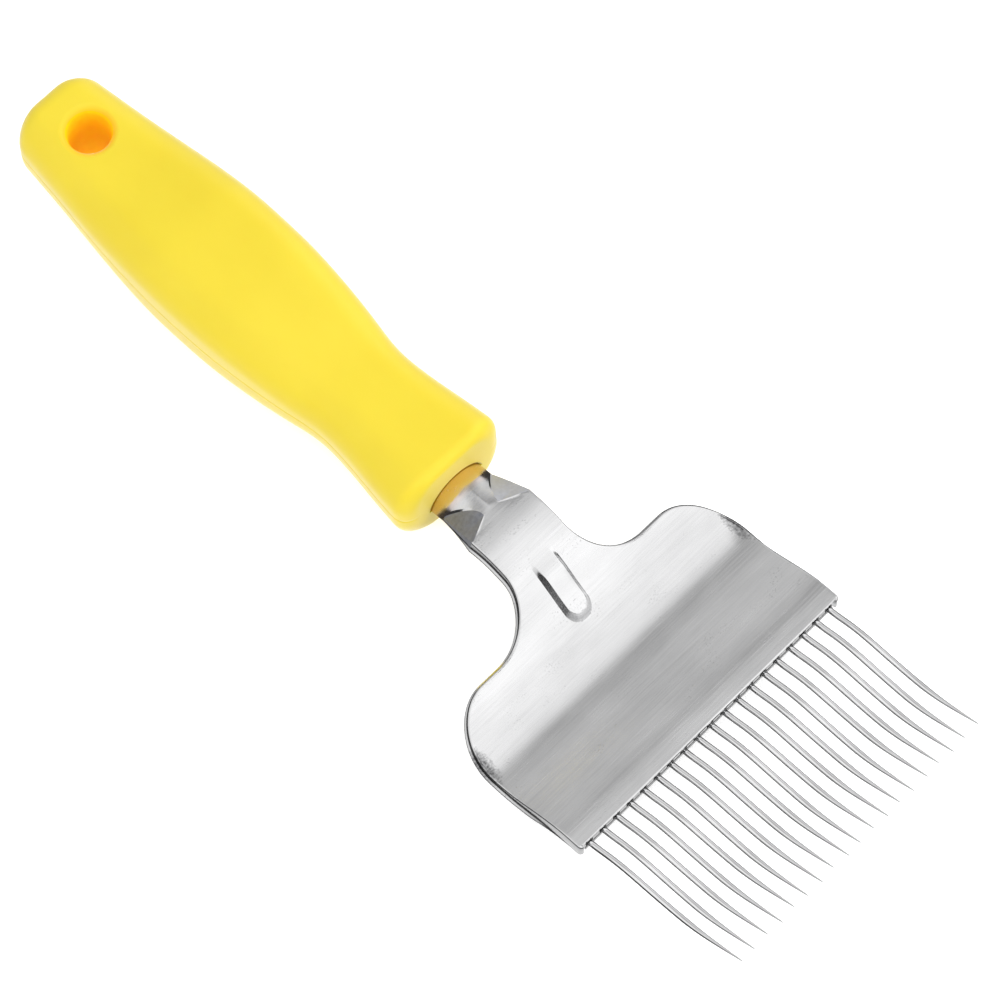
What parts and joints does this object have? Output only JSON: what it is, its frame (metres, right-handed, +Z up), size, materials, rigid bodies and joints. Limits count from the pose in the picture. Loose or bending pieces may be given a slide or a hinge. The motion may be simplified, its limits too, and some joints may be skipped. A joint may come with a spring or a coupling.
{
  "type": "uncapping fork",
  "caption": "Hand fork that lifts the wax cappings off honeycomb: a row of cranked steel tines in a pressed steel head on a moulded plastic handle.",
  "frame": {"origin": "middle of the fork's bounding box, on the flat surface that the fork rests on", "axes": "+X from the handle's tail to the tine tips, +Y across the fork, +Z up from the resting surface to the tips' upward bend"},
  "size_m": [0.223, 0.0714, 0.0236],
  "materials": {
    "handle_plastic": "soft-gloss injection moulded yellow plastic",
    "pressed_steel": "satin rolled stainless sheet",
    "tine_steel": "bright drawn and ground stainless wire"
  },
  "bodies": {
    "root": {"handle": "handle_plastic", "head_plate": "pressed_steel", "tine_clamp_strip": "pressed_steel", "tine_01": "tine_steel", "tine_02": "tine_steel", "tine_03": "tine_steel", "tine_04": "tine_steel", "tine_05": "tine_steel", "tine_06": "tine_steel", "tine_07": "tine_steel", "tine_08": "tine_steel", "tine_09": "tine_steel", "tine_10": "tine_steel", "tine_11": "tine_steel", "tine_12": "tine_steel", "tine_13": "tine_steel", "tine_14": "tine_steel", "tine_15": "tine_steel", "tine_16": "tine_steel", "tine_17": "tine_steel", "tine_18": "tine_steel", "tine_19": "tine_steel"}
  },
  "joints": []
}
